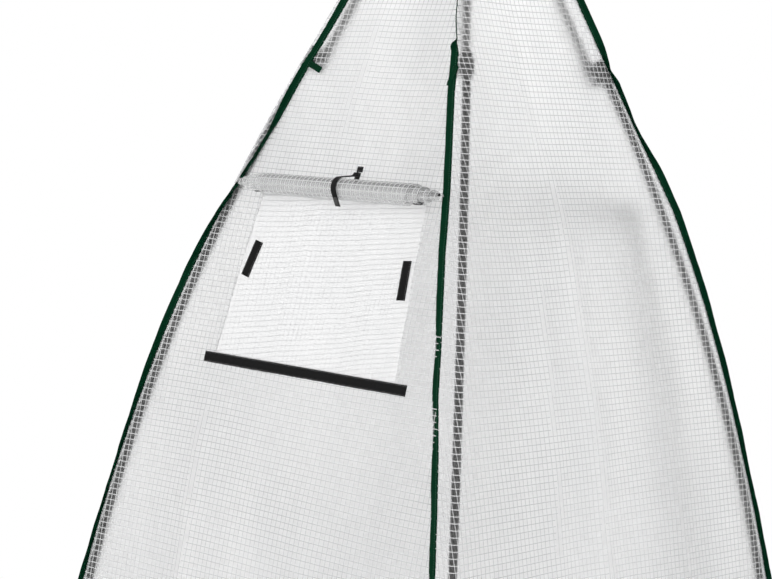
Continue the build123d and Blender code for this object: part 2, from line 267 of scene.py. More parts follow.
# %% Film and yarn
film = Finish("clear_film", Transmission_Weight=0.97, IOR=1.19)
# Painted shade: soft vertical streaks of lighter and darker film colour stand in for the light and shade
# of folds.
painted_fold_shade = film.steps(film.grain(film.place((9, 9, 1.1)), 1, 3), 0.3, 0.68)
crinkle = film.grain(film.place((1, 1, 0.4)), 26, 3, 0.55)
film.look(painted_fold_shade, colour(0.95, 0.952, 0.955), colour(1.0), 0.50 + 0.14 * crinkle, (crinkle, 0.35, 0.002))

rolled_film = Finish("rolled_film", Alpha=0.22, IOR=1.4)
crinkle = rolled_film.grain(rolled_film.place((0.3, 1, 1)), 60, 3, 0.55)
# Painted shade: above a given height the roll's upper side gets a far darker colour than its lower side.
painted_top_shade = rolled_film.steps(rolled_film.split(rolled_film.place(), 2), 1.512, 1.535)
rolled_film.look(painted_top_shade, colour(0.84, 0.842, 0.845), colour(0.27, 0.273, 0.276),
                 0.25 + 0.2 * crinkle, (crinkle, 0.5, 0.002))

yarn = Finish("white_yarn", Specular_IOR_Level=0.3)
thread = yarn.grain(yarn.place(), 900, 2)
cloudy = yarn.steps(yarn.grain(yarn.place(), 3, 2), 0.35, 0.65)
yarn.look(thread * 0.3 + cloudy * 0.7, colour(0.60, 0.604, 0.608), colour(0.74, 0.742, 0.745),
          0.45 + 0.2 * thread, (thread, 0.3, 0.0003))

gauze = Finish("screen_thread", Alpha=0.85, Specular_IOR_Level=0.3)
fibre = gauze.grain(gauze.place(), 1500, 2)
gauze.look(fibre, colour(0.82, 0.822, 0.825), colour(0.90, 0.902, 0.905), 0.45 + 0.2 * fibre)
print("film, yarn and gauze are mixed")

# %% [markdown]
# ## Woven tapes
# The green binding, the black webbing and the hook-and-loop strips are narrow woven tapes. Each
# carries a flat map in metres, so ribs of a real pitch run along and across it, however the tape
# twists. A sine of the place makes a rib, and the product of two makes a weave.


# %% Woven tapes
def weave(finish, along_pitch, across_pitch):
    """Height of a plain weave on the flat map, from 0 to 1, with uneven yarns."""
    flat = finish.place(uv=True)
    across, along = finish.split(flat, 0), finish.split(flat, 1)
    drift = finish.grain(finish.place((60, 60, 1), uv=True), 4, 2) * 1.4
    ribs = across * (2 * pi / across_pitch) + drift
    picks = along * (2 * pi / along_pitch) + drift
    return ribs.math("SINE", ribs) * picks.math("SINE", picks) * 0.5 + 0.5


binding = Finish("green_binding", Specular_IOR_Level=0.03)
woven = weave(binding, 0.0016, 0.0018)
worn = binding.grain(binding.place(), 38, 4, 0.6)
# Painted highlight: pale green flecks in the colour stand in for glints; there the tape is also smoother
# and more raised.
painted_glint = binding.steps(binding.grain(binding.place((260, 90, 1), uv=True), 6, 3, 0.7), 0.66, 0.74)
green = binding.mix(woven * 0.6 + worn * 0.4, colour(0.0001, 0.010, 0.0035), colour(0.0010, 0.044, 0.018))
binding.look(painted_glint * 0.3, green, colour(0.22, 0.42, 0.33),
             0.5 - 0.25 * painted_glint + 0.1 * worn, (woven + 0.5 * painted_glint, 0.7, 0.0005))

webbing = Finish("black_webbing", Specular_IOR_Level=0.1)
woven = weave(webbing, 0.0022, 0.0012)
dust = webbing.grain(webbing.place(), 60, 4, 0.6)
webbing.look(woven * 0.7 + dust * 0.3, colour(0.004), colour(0.017, 0.017, 0.018),
             0.62 + 0.15 * dust, (woven, 0.8, 0.0006))

hooks = Finish("hook_strip", Specular_IOR_Level=0.1)
flat = hooks.place(uv=True)
pile = hooks.node("TexVoronoi", {"feature": "F1"}, {"Vector": flat, "Scale": 850, "Randomness": 0.8})
fuzz = hooks.grain(flat, 320, 4, 0.7)
tuft = hooks.steps(pile, 0.55, 0.1)
hooks.look(tuft * 0.6 + fuzz * 0.4, colour(0.003), colour(0.019, 0.019, 0.020),
           0.75 - 0.25 * tuft, (tuft + fuzz, 0.9, 0.0007))

loops = Finish("worn_hook_patch", Specular_IOR_Level=0.1)
flat = loops.place(uv=True)
fuzz = loops.grain(flat, 420, 4, 0.75)
loops.look(loops.steps(fuzz, 0.35, 0.7), colour(0.02), colour(0.13), 0.8 + 0.1 * fuzz, (fuzz, 0.9, 0.0007))


def sewing(name, dark, light):
    """Twisted sewing thread."""
    made = Finish(name)
    ply = made.grain(made.place(), 1400, 2)
    made.look(ply, dark, light, 0.4 + 0.3 * ply)
    return made


pale_thread = sewing("pale_thread", colour(0.34), colour(0.62))
green_thread = sewing("green_thread", colour(0.004, 0.04, 0.02), colour(0.03, 0.14, 0.08))
print("four tapes and two threads are mixed")

# %% [markdown]
# ## The hard parts
# Poles are steel tube under a satin black powder coat, which has a fine orange peel. Brackets, hub
# and feet are moulded nylon with a spark-eroded grain. Pins are plain bright steel, turned on a
# lathe. All of them read Object coordinates, because CAD meshes have no flat map.


# %% Hard finishes
def moulded(name, shade, gloss, peel_scale, wear):
    """Dark coat or moulding: a fine peel, cloudy gloss and a little dust."""
    made = Finish(name, Specular_IOR_Level=0.25)
    peel = made.grain(made.place(), peel_scale, 3, 0.6)
    cloud = made.grain(made.place(), 14, 4, 0.6)
    rubbed = made.steps(cloud, 0.52, 0.72) * wear
    roughness = gloss + 0.18 * cloud - 0.06 * peel
    made.look(rubbed, colour(shade), colour(4 * shade), roughness, (peel, 0.35, 0.0004))
    return made


powder_coat = moulded("black_powder_coat", 0.009, 0.34, 900, 0.25)
nylon = moulded("moulded_nylon", 0.011, 0.42, 1600, 0.35)
sole = moulded("foot_nylon", 0.020, 0.55, 700, 0.8)

steel = Finish("pin_steel", Metallic=1.0)
turning = steel.grain(steel.place((1, 1, 14)), 300, 3, 0.6)
steel.look(turning, colour(0.46, 0.46, 0.47), colour(0.66, 0.66, 0.67),
           0.22 + 0.2 * turning, (turning, 0.2, 0.0002))

HARD_EDGE = radians(35)   # edges sharper than this stay crisp
hard = {
    powder_coat: ("lower_pole_", "upper_pole_"),
    nylon: ("elbow_socket_", "elbow_arm_", "top_hub"),
    sole: ("pole_feet",),
    steel: ("elbow_pins", "hub_pins"),
}
for finish, names in hard.items():
    for name, node in nodes.items():
        if name.startswith(names):
            for slot in node.material_slots:
                slot.material = finish.material
            for polygon in node.data.polygons:
                polygon.use_smooth = True
            node.data.set_sharp_from_angle(angle=HARD_EDGE)
print("the rigid CAD nodes have their finishes")

# %% [markdown]
# ## The cover's section
# Seen from the side, the cover follows the bent poles, turns at the elbow brackets and runs
# straight up to the hub. The line is sampled every few millimetres and softened: a little beside
# the poles, where the film wraps the brackets, and much more between them, where it only spans.

# %% Section of the cover
ARC_CENTRE = Vector((-4815.88, -122.64)) * MM
ARC_RADIUS = 5381.5 * MM
ARC_TOP = 1747.3 * MM
ABOVE_ARC = ((213.1, 1791.0), (44.2, 2244.6), (0.3, 2255.1))
STEP = 4 * MM
POLE_EASE, SPAN_EASE = 12, 420   # how often the line is softened, beside the poles and between them


def clamp(value):
    """A value held between 0 and 1."""
    return min(1, max(0, value))


def rough(x, y, z):
    """Smooth noise, between about -1 and 1."""
    return noise.noise(Vector((x, y, z)))


def even_steps(points, step):
    """The same line, as points one step apart."""
    made, left = [points[0].copy()], step
    for start, stop in zip(points, points[1:]):
        run, length = start.copy(), (stop - start).length
        while length > left:
            run = run.lerp(stop, left / length)
            length -= left
            left = step
            made.append(run.copy())
        left -= length
    return made + [points[-1].copy()]


def softened(line, passes):
    """The line with its corners eased, its two ends held."""
    line = [point.copy() for point in line]
    for _ in range(passes):
        line[1:-1] = [(a + 2 * b + c) / 4 for a, b, c in zip(line, line[1:], line[2:])]
    return line


arc_points = 60
section = [
    Vector((ARC_CENTRE.x + sqrt(ARC_RADIUS**2 - (h - ARC_CENTRE.y) ** 2), h))
    for h in (ARC_TOP * i / arc_points for i in range(arc_points + 1))
]
section += [Vector(point) * MM for point in ABOVE_ARC]
section = even_steps(section, STEP)
on_poles, between = softened(section, POLE_EASE), softened(section, SPAN_EASE)
COVER_LENGTH = STEP * (len(section) - 2)
print("the cover is", round(COVER_LENGTH, 3), "m long from hem to crown")


def read(line, along):
    """Point of a sampled line, as distance from the axis and height."""
    spot = min(max(along / STEP, 0), len(line) - 1.001)
    low = int(spot)
    return line[low].lerp(line[low + 1], spot - low)


def slope_at(along):
    """Direction in which the cover climbs, as distance from the axis and height."""
    return (read(on_poles, along + STEP) - read(on_poles, along - STEP)).normalized()


def along_at(height):
    """How far up the cloth a height is."""
    low, high = 0, len(on_poles) - 1
    while high - low > 1:
        middle = (low + high) // 2
        low, high = (middle, high) if on_poles[middle].y < height else (low, middle)
    share = (height - on_poles[low].y) / (on_poles[high].y - on_poles[low].y)
    return STEP * (low + share)


def table(pairs, value):
    """Straight-line reading of a table of pairs, whose first numbers rise."""
    if value <= pairs[0][0]:
        return pairs[0][1]
    for (low, a), (high, b) in zip(pairs, pairs[1:]):
        if value <= high:
            return a + (b - a) * (value - low) / (high - low)
    return pairs[-1][1]


# %% [markdown]
# ## Hanging a cloth
# Every cloth piece is made flat, with its width across, its length along and a small lift off the
# film. One function hangs such a point on the tent: it wraps the cloth round the poles at the
# corners, lets it sag between them, and adds the long soft folds that the photograph shows.

# %% Hanging a cloth
TURNS = {"front": 0, "right": 90, "back": 180, "left": 270}
SIDE_ORDER = list(TURNS)
CORNER_RADIUS, CORNER_SHARE = 11 * MM, 0.4   # the latter of the half width, near the crown
EDGE_EASE = 110 * MM     # over which the cover softens away from a pole
FOLD_EDGE = 60 * MM      # over which its folds fade out beside a pole
SAG, SAG_HEIGHT = 9 * MM, 2.1
PUFF_REACH, PUFF_SHARE = 70 * MM, 0.7
WAVES = ((2.4, 8, 4.5, 0), (0.9, 26, 15, 3))   # height in mm, rates across and up, and a seed
FOLDS = {   # each fold: its line as height and place across, its half width and its height, in mm
    "front": [
        ([(330, -196), (756, -230), (1072, -245), (1140, -250)], 20, 5.0),
        ([(120, 60), (600, 66), (1140, 84)], 34, 3.0),
        ([(250, 230), (700, 252), (1130, 268)], 26, -3.0),
        ([(1545, -60), (1750, -40), (1900, -30)], 26, 3.0),
        ([(1530, 150), (1700, 90), (1850, 70)], 22, -2.5),
    ],
    "right": [
        ([(300, -5), (859, -20), (993, -11), (1224, -20), (1379, -24), (1514, -30), (1726, -75)], 24, 6.0),
        ([(400, 70), (900, 62), (1400, 44), (1650, 30)], 30, -4.0),
        ([(200, -215), (800, -170), (1300, -130), (1560, -118)], 24, 4.0),
        ([(500, 250), (1000, 215), (1450, 150)], 26, 3.5),
        ([(1560, -40), (1800, -58), (2000, -30)], 18, -2.5),
    ],
    "back": [
        ([(1490, -150), (1700, -80), (1900, -40)], 24, 4.0),
        ([(1490, 120), (1720, 70), (1950, 30)], 24, -3.5),
        ([(200, 440), (700, 390), (1200, 330)], 18, 3.5),
        ([(150, 90), (700, 70), (1300, 60)], 34, 4.0),
        ([(250, -160), (800, -140), (1350, -110)], 28, -4.0),
    ],
    "left": [
        ([(200, 120), (800, 96), (1300, 60), (1650, 40)], 28, 5.0),
        ([(300, -160), (900, -128), (1500, -80)], 26, -4.0),
        ([(500, -250), (1000, -215), (1400, -170)], 20, 3.5),
        ([(1600, 20), (1800, 30), (2000, 12)], 20, 2.5),
    ],
}
CORNER_STANDS = {   # how far the film stands off a pole, by height, in mm
    "front_right": [(0, 2), (900, 1), (1700, 0)],
    "back_right": [(0, 3), (1000, 5), (1300, 12), (1486, 14), (1560, 8), (1640, 2), (1720, 0)],
    "back_left": [(0, 3), (1000, 6), (1450, 9), (1650, 1)],
    "front_left": [(0, 2), (700, 3), (1200, 4), (1500, 1), (1700, 0)],
}


def corner_of(side, hand):
    """The corner at a side's right or left end, as seen from outside."""
    other = SIDE_ORDER[(SIDE_ORDER.index(side) + hand) % 4]
    ends = {side, other}
    return next(c for c in CORNER_STANDS if set(c.split("_")) == ends), other


def relief(side, across, height, half):
    """How far the film stands out of its flat span."""
    edge = clamp((half - abs(across)) / FOLD_EDGE)
    depth = -SAG * (1 - (across / half) ** 2) * sin(pi * clamp(height / SAG_HEIGHT))
    for line, width, rise in FOLDS[side]:
        low, high = line[0][0], line[-1][0]
        share = (height / MM - low) / (high - low)
        if 0 < share < 1:
            off = (across / MM - table(line, height / MM)) / width
            depth += rise * MM * exp(-off * off) * min(1, 5 * share, 5 * (1 - share))
    seed = 7.3 * SIDE_ORDER.index(side)
    for rise, aside, up, shift in WAVES:
        depth += rise * MM * rough(across * aside, height * up, seed + shift)
    return depth * edge


def corner_bend(snug):
    """Where the bend round a corner pole starts, its radius and its length."""
    radius = min(CORNER_RADIUS, CORNER_SHARE * snug.x)
    return snug.x - radius, radius, radius * pi / 2


def hang(side, across, along, lift=0.0):
    """Place on the tent of a point of a side's cloth."""
    hand = 1 if across >= 0 else -1
    corner, other = corner_of(side, hand)
    snug, loose = read(on_poles, along), read(between, along)
    straight, radius, quarter = corner_bend(snug)
    beyond = abs(across) - straight
    ease = clamp(-beyond / EDGE_EASE)
    ease *= ease * (3 - 2 * ease)
    here = snug.lerp(loose, ease)
    slope = slope_at(along)
    if beyond <= 0:
        x, out, face = across, here.x, Vector((0, 1))
        stand = relief(side, across, here.y, snug.x)
    else:
        angle = min(beyond, quarter) / radius
        rest = max(0, beyond - quarter)
        x = hand * (straight + radius * sin(angle))
        out = snug.x - radius * (1 - cos(angle)) - rest
        face = Vector((hand * sin(angle), cos(angle)))
        stand = relief(other, -hand * (straight - rest), here.y, snug.x) if rest else 0
    from_corner = abs(abs(across) - snug.x) / PUFF_REACH
    puff = table(CORNER_STANDS[corner], here.y / MM) * MM * exp(-from_corner * from_corner)
    lift += stand
    x += face.x * slope.y * lift + hand * puff * PUFF_SHARE
    out += face.y * slope.y * lift + puff * PUFF_SHARE
    turn = radians(TURNS[side])
    return Vector(
        (out * sin(turn) + x * cos(turn), x * sin(turn) - out * cos(turn), here.y - slope.x * lift)
    )


# %% [markdown]
# ## Where the seams run
# Each seam joins two panels at or near a corner. At the two front corners the cover sits twisted
# on its frame, so the seam wanders onto the front face by a few centimetres. A panel's cloth
# therefore ends at the seam, and not at the pole.

# %% Seams
SEAMS = {   # the side that a seam wanders onto, and how far, by height, in mm
    "front_right": ("front", [
        (0, 36), (400, 40), (877, 42), (1049, 45), (1152, 50), (1240, 46), (1418, 43),
        (1527, 35), (1703, 30), (1787, 22), (1800, 26), (1847, 30), (1960, 24), (2150, 8)]),
    "front_left": ("front", [
        (0, -4), (1300, -3), (1420, 2), (1554, 27), (1640, 34), (1724, 33),
        (1765, 32), (1847, 33), (1900, 32), (2050, 15), (2150, 0)]),
    "back_right": ("back", [(0, 0), (2000, 0)]),
    "back_left": ("back", [(0, 0), (2000, 0)]),
}
SEAM_SHARE = 0.8   # most of the half width by which a seam may wander
BEND_RUNS, LAP_RUNS, MIDDLE_RUNS, FILM_ROWS = 4, 3, 74, 150


def seam_across(side, hand, along):
    """Where a side's cloth ends, measured from its middle."""
    snug = read(on_poles, along)
    straight, radius, _ = corner_bend(snug)
    corner, _ = corner_of(side, hand)
    owner, wander = SEAMS[corner]
    shift = min(table(wander, snug.y / MM) * MM, SEAM_SHARE * snug.x)
    middle = straight + radius * pi / 4
    return hand * (middle - shift if side == owner else middle + shift)


def stops(side, along, middle_runs):
    """Breaks across a side's cloth from seam to seam, close together round the poles."""
    straight, _, quarter = corner_bend(read(on_poles, along))
    marks = []
    for hand in (-1, 1):
        end = abs(seam_across(side, hand, along))
        bend_start, bend_stop = min(straight, end), min(straight + quarter, end)
        row = [bend_start + (bend_stop - bend_start) * i / BEND_RUNS for i in range(BEND_RUNS + 1)]
        row += [bend_stop + (end - bend_stop) * i / LAP_RUNS for i in range(1, LAP_RUNS + 1)]
        marks.append([hand * x for x in row])
    low, high = marks[0][0], marks[1][0]
    inner = [low + (high - low) * i / middle_runs for i in range(1, middle_runs)]
    return marks[0][::-1] + inner + marks[1]


# %% [markdown]
# ## Cutting film and yarn
# A blank of film is a grid with its columns drawn in to the seams. Yarns are flat ribbons, laid at
# one pitch both ways. Openings are cut with planes while the cloth is flat, and only then is the
# cloth hung. The flat place is kept as the piece's own map.

# %% Cutting helpers
PITCH = 12 * MM
YARN_WIDTH, UPRIGHT_WIDTH = 1.6 * MM, 1.25 * MM
YARN_THICKNESS = 0.3 * MM
INNER_YARN, OUTER_YARN = 0.3 * MM, 0.5 * MM   # how far the two ways of the net lie off the film
FILM_THICKNESS = 0.2 * MM
THREAD = 0.3 * MM
DRIFT = (2.5 * MM, 6 * MM)   # how far the net strays, across and up
RUN = 30 * MM                # length of a yarn's flat parts


def grid(bm, columns, rows):
    """Points of a unit grid, each with its shares across and up, from 0 to 1."""
    made = bmesh.ops.create_grid(bm, x_segments=columns, y_segments=rows, size=0.5)["verts"]
    return [(v, v.co.x + 0.5, v.co.y + 0.5) for v in made]


def blank(side):
    """Flat film of one side, from seam to seam."""
    bm = bmesh.new()
    count = len(stops(side, 0, MIDDLE_RUNS)) - 1
    breaks = {}
    for v, across, up in grid(bm, count, FILM_ROWS):
        row = round(up * FILM_ROWS)
        along = COVER_LENGTH * row / FILM_ROWS
        if row not in breaks:
            breaks[row] = stops(side, along, MIDDLE_RUNS)
        v.co = (breaks[row][round(across * count)], along, 0)
    return bm


def lay_yarn(bm, marks, level, width, upright, lift):
    """One flat yarn through the marks, across the cloth or up it."""
    count = len(marks) - 1
    for v, share, up in grid(bm, count, 1):
        along, aside = marks[round(share * count)], (up - 0.5) * width
        v.co = (level - aside, along, lift) if upright else (along, level + aside, lift)


def evenly(start, stop, run):
    """Marks from start to stop, about one run apart."""
    count = max(1, ceil((stop - start) / run))
    return [start + (stop - start) * i / count for i in range(count + 1)]


def side_net(side):
    """Flat yarn net of one side, from seam to seam."""
    top = COVER_LENGTH - 2 * PITCH
    bm = bmesh.new()
    level = PITCH / 2
    while level < top:
        width = seam_across(side, 1, level) - seam_across(side, -1, level)
        marks = stops(side, level, max(2, ceil(width / RUN)))
        lay_yarn(bm, marks, level, YARN_WIDTH, False, OUTER_YARN)
        level += PITCH
    for hand in (-1, 1):
        column = 0 if hand > 0 else 1
        while PITCH * column < abs(seam_across(side, hand, 0)) - PITCH / 2:
            low, high = 0, top
            while high - low > MM:   # the height at which this yarn meets the seam
                middle = (low + high) / 2
                inside = abs(seam_across(side, hand, middle)) > PITCH * column
                low, high = (middle, high) if inside else (low, middle)
            if low > PITCH:
                marks = evenly(0, low, RUN)
                lay_yarn(bm, marks, hand * PITCH * column, UPRIGHT_WIDTH, True, INNER_YARN)
            column += 1
    seed = 5 * SIDE_ORDER.index(side)
    for v in bm.verts:   # no yarn of a real net runs quite straight
        aside = rough(v.co.x * 5, v.co.y * 5, seed)
        up = rough(v.co.x * 3, v.co.y * 4, seed + 2)
        v.co.x += DRIFT[0] * aside
        v.co.y = max(YARN_WIDTH, v.co.y + DRIFT[1] * up)
    return bm


def cut(bm, outline, keep_inside):
    """Cut along a convex flat outline, given counterclockwise, and keep one side of it."""
    lowest = [min(p[k] for p in outline) - RUN for k in (0, 1)]
    highest = [max(p[k] for p in outline) + RUN for k in (0, 1)]
    edges = list(zip(outline, outline[1:] + outline[:1]))
    for start, stop in edges:
        across = Vector((stop[1] - start[1], start[0] - stop[0], 0)).normalized()
        near = [
            f for f in bm.faces
            if all(lowest[k] < f.calc_center_median()[k] < highest[k] for k in (0, 1))
        ]
        parts = {x for f in near for x in (f, *f.edges, *f.verts)}
        bmesh.ops.bisect_plane(bm, geom=list(parts), dist=1e-7, plane_co=(*start, 0), plane_no=across)
    doomed = []
    for f in bm.faces:
        centre = f.calc_center_median()
        inside = all(
            (b[0] - a[0]) * (centre.y - a[1]) - (b[1] - a[1]) * (centre.x - a[0]) > 0 for a, b in edges
        )
        if inside != keep_inside:
            doomed.append(f)
    bmesh.ops.delete(bm, geom=doomed, context="FACES")


cut_sizes = {}   # by name: flat width, flat length and flat area


def piece(name, bm, finish, hung=None, thickness=0.0, replaced=(), edge=0.0, smooth=True):
    """Hang a flat mesh, give it thickness and a finish, and let it ride on the frame."""
    if hung:
        spans = [[v.co[k] for v in bm.verts] for k in (0, 1)]
        cut_sizes[name] = [max(s) - min(s) for s in spans] + [sum(f.calc_area() for f in bm.faces)]
        flat_map = bm.loops.layers.uv.new("flat")
        for f in bm.faces:
            for loop in f.loops:
                loop[flat_map].uv = loop.vert.co.xy
        for v in bm.verts:
            v.co = hung(*v.co)
    mesh = bpy.data.meshes.new(name)
    bm.normal_update()
    bm.to_mesh(mesh)
    bm.free()
    if smooth:
        mesh.polygons.foreach_set("use_smooth", [True] * len(mesh.polygons))
    mesh.materials.append(finish.material)
    made = bpy.data.objects.new(name, mesh)
    scene.collection.objects.link(made)
    if thickness:
        walls = made.modifiers.new("walls", "SOLIDIFY")
        walls.thickness, walls.offset, walls.use_even_offset = thickness, 0, False
        if smooth:
            mesh.set_sharp_from_angle(angle=radians(50))
    if edge:
        round_edge = made.modifiers.new("edge", "BEVEL")
        round_edge.width, round_edge.segments, round_edge.limit_method = edge, 2, "ANGLE"
    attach(made, "root")
    if replaced:
        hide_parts(*replaced)
    print(name, "has", len(mesh.polygons), "faces")
    return made


def on_side(side):
    """Hanging for one side's cloth."""
    return lambda across, along, lift: hang(side, across, along, lift)


# %% [markdown]
# ## The four panels
# The front panel has the window and the back panel the doorway, both cut through film and net.
# The cut edges follow the same slanted outlines as in the CAD model.

# %% Panels
def outline(bottom_width, top_width, bottom, top):
    """Flat trapezoid in the middle of a side, counterclockwise, from sizes in mm."""
    low, high = along_at(bottom * MM) if bottom > 0 else -MM, along_at(top * MM)
    wide, narrow = bottom_width * MM / 2, top_width * MM / 2
    return [(-wide, low), (wide, low), (narrow, high), (-narrow, high)]


WINDOW = outline(490, 436, 1170, 1496)
DOOR = outline(760, 430, 0, 1480)
panels = {}
for side in TURNS:
    opening = {"front": WINDOW, "back": DOOR}.get(side)
    sheet, net = blank(side), side_net(side)
    if opening:
        cut(sheet, opening, keep_inside=False)
        cut(net, opening, keep_inside=False)
    panels[side] = (
        piece(f"{side}_film", sheet, film, on_side(side), FILM_THICKNESS, [f"{side}_panel"]),
        piece(f"{side}_yarns", net, yarn, on_side(side), YARN_THICKNESS),
    )

# %% [markdown]
# ## The insect screen
# The window is filled with a much finer and whiter net. It is laid in the same way as the yarns,
# only with thin threads close together, and is trimmed to the window with a small seam allowance.

# %% Insect screen
SCREEN_PITCH, SCREEN_THREAD, SCREEN_RUN, SCREEN_LIFT = 1.8 * MM, 0.6 * MM, 20 * MM, 0.0002
allowance = 5
SCREEN = outline(490 + 2 * allowance, 436 + 2 * allowance, 1170 - allowance, 1496 + allowance)
screen_net = bmesh.new()
half_width, (low, high) = SCREEN[1][0], (SCREEN[0][1], SCREEN[2][1])
marks_across, marks_up = evenly(-half_width, half_width, SCREEN_RUN), evenly(low, high, SCREEN_RUN)
for level in evenly(low, high, SCREEN_PITCH)[1:-1]:
    lay_yarn(screen_net, marks_across, level, SCREEN_THREAD, False, SCREEN_LIFT)
for level in evenly(-half_width, half_width, SCREEN_PITCH)[1:-1]:
    lay_yarn(screen_net, marks_up, level, SCREEN_THREAD, True, -SCREEN_LIFT)
cut(screen_net, SCREEN, keep_inside=True)
screen = piece(
    "window_gauze", screen_net, gauze, on_side("front"), replaced=["window_screen"], smooth=False
)

# %% [markdown]
# ## The door
# The back panel has a doorway that a zip closes. Its leaf is cut from the same film and net with
# the doorway's own outline, so the net runs on across the zip as on a real tent.

# %% Door leaf
leaf, leaf_net = blank("back"), side_net("back")
for bm in (leaf, leaf_net):
    cut(bm, DOOR, keep_inside=True)
door_film = piece("door_film", leaf, film, on_side("back"), FILM_THICKNESS, ["door_leaf"])
door_yarns = piece("door_yarns", leaf_net, yarn, on_side("back"), YARN_THICKNESS)

# %% [markdown]
# ## Sewing helpers
# A tape is a strip along a line on the flat cloth, mitred at the line's corners. A stitch is a
# short flat ribbon whose two ends dip into the cloth, and a row of stitches follows the same line
# at a distance. Both are then hung like any other cloth.

# %% Sewing helpers
TAPE_STEP = 6 * MM
STITCH_WIDTH = 0.7 * MM


def stations(line, step):
    """Points along a line of straight parts, each with its mitred direction to the left."""
    line = [Vector(point) for point in line]
    ways = [(b - a).normalized() for a, b in zip(line, line[1:])]
    aside = [Vector((-way.y, way.x)) for way in ways]
    mitres = [aside[0]] + [(a + b) / (1 + a.dot(b)) for a, b in zip(aside, aside[1:])] + [aside[-1]]
    made = []
    for k, (a, b) in enumerate(zip(line, line[1:])):
        count = max(1, ceil((b - a).length / step))
        made += [(a.lerp(b, i / count), mitres[k].lerp(mitres[k + 1], i / count)) for i in range(count)]
    return made + [(line[-1], mitres[-1])]


def tape(bm, line, near, far, lift, columns=4, ragged=0.0):
    """Flat tape between two distances to the left of a line, with slightly uneven edges."""
    places = stations(line, TAPE_STEP)
    rows = len(places) - 1
    for v, share, up in grid(bm, rows, columns):
        spot, aside = places[round(share * rows)]
        place = spot + aside * (near + (far - near) * up)
        place += aside * ragged * rough(place.x * 160, place.y * 160, 3)
        v.co = (place.x, place.y, lift)


def stitch(bm, start, stop, width, lift):
    """One stitch from hole to hole, bowed up between them."""
    way = stop - start
    aside = Vector((-way.y, way.x)).normalized() * width
    for v, share, up in grid(bm, 2, 1):
        place = start + way * share + aside * (up - 0.5)
        v.co = (place.x, place.y, lift * (1 - (2 * share - 1) ** 4))


def stitches(bm, line, distance, pitch, lift, swing=0.0, filled=0.7):
    """Row of stitches beside a line: straight, or a zigzag as wide as its swing."""
    holes = [(spot + aside * distance, aside) for spot, aside in stations(line, pitch)]
    for k, ((start, first), (stop, second)) in enumerate(zip(holes, holes[1:])):
        if swing:
            turn = swing / 2 if k % 2 else -swing / 2
            stitch(bm, start + first * turn, stop - second * turn, STITCH_WIDTH, lift)
        else:
            stitch(bm, start, start.lerp(stop, filled), STITCH_WIDTH, lift)


def bound(name, cloth, sewn, hung, thickness, node):
    """A green tape in place of its CAD node, and its stitches."""
    piece(name, cloth, binding, hung, thickness, [node])
    piece(f"{name}_stitches", sewn, green_thread, hung, THREAD)


def folded(u, width, gap):
    """Section of a tape folded in half, at a distance u from its fold: place and outward direction."""
    quarter = gap * pi / 2
    if abs(u) < quarter:
        turned = Vector((cos(u / gap), sin(u / gap)))
        return Vector((width - gap, 0)) + turned * gap, turned
    return Vector((width - gap - abs(u) + quarter, copysign(gap, u))), Vector((0, copysign(1, u)))


# %% [markdown]
# ## Seam bindings
# Where two panels meet, a woven green tape is folded over both raw edges and sewn through. It is
# left standing as a fin, which twists as it climbs: the photograph shows it flat in one place and
# edge-on in the next. A table gives the fin's angle by height, 0 being along the side to its
# right and 90 straight out of it.

# %% Seam bindings
FIN_WIDTH, FIN_GAP, PLY = 16.5 * MM, 0.6 * MM, 0.5 * MM
FIN_BITE = 1.5 * MM      # how far the panels' edges reach into the fold
FIN_TWIST, FIN_SEAM = 9, 4.5 * MM   # stray twist in degrees, and the stitches' pitch and inset
FINS = {   # the side that a fin is measured on, the end it stands at, and its angle by height
    "front_right": ("front", 1, [
        (0, 150), (400, 170), (700, 178), (877, 186), (1000, 176), (1100, 188), (1300, 178),
        (1420, 168), (1600, 165), (1785, 165), (1806, 49), (2000, 49), (2200, 90)]),
    "front_left": ("front", -1, [
        (0, 135), (300, 140), (600, 100), (830, 70), (940, 70), (1035, 85), (1155, 110),
        (1250, 138), (1290, 150), (1345, 110), (1420, 80), (1480, 62), (1600, 68),
        (1690, 120), (1770, 165), (1890, 150), (2050, 120), (2200, 90)]),
    "back_right": ("right", 1, [
        (40, 90), (400, 70), (900, 110), (1300, 90), (1486, 76), (1514, 75), (1554, 58),
        (1600, 96), (1633, 115), (1665, 125), (1705, 110), (1742, 104), (1766, 128),
        (1781, 111), (1833, 58), (1868, 50), (1900, 50), (2100, 70), (2200, 90)]),
    "back_left": ("left", -1, [
        (0, 90), (500, 120), (900, 80), (1200, 50), (1500, 100), (1700, 60), (1900, 130), (2200, 90)]),
}


def fin(corner):
    """Hanging for the folded tape of a corner: u from its fold, along from the ground."""
    side, hand, angles = FINS[corner]
    turn = radians(TURNS[side])
    rightward = Vector((cos(turn), sin(turn), 0))

    def place(u, along, lift):
        slope = slope_at(along)
        outward = Vector((slope.y * sin(turn), -slope.y * cos(turn), -slope.x))
        foot = hang(side, seam_across(side, hand, along), along)
        twist = FIN_TWIST * rough(along * 13, hand, 5)
        angle = radians(table(angles, read(on_poles, along).y / MM) + twist)
        spot, face = folded(u, FIN_WIDTH, FIN_GAP)
        spot = spot + face * lift - Vector((FIN_BITE, 0))
        spot.y += 0.7 * MM * rough(along * 60, spot.x * 90, 8 + hand)
        away = rightward * cos(angle) + outward * sin(angle)
        aside = outward * cos(angle) - rightward * sin(angle)
        return foot + away * spot.x + aside * spot.y

    return place


fin_top = along_at(2.234)
fin_line = [(0, 2 * MM), (0, fin_top)]
for corner in FINS:
    cloth, sewn = bmesh.new(), bmesh.new()
    tape(cloth, fin_line, -FIN_WIDTH, FIN_WIDTH, 0, columns=12)
    for distance in (FIN_SEAM - FIN_WIDTH, FIN_WIDTH - FIN_SEAM):
        stitches(sewn, fin_line, distance, FIN_SEAM, 0.6 * MM)
    bound(f"binding_{corner}", cloth, sewn, fin(corner), PLY, f"seam_{corner}")

# %% [markdown]
# ## Webbing tabs
# A short loop of ribbed green webbing is caught in each seam at elbow height. Three stand off
# their seams and hang a little; the front right one lies folded down under its binding.

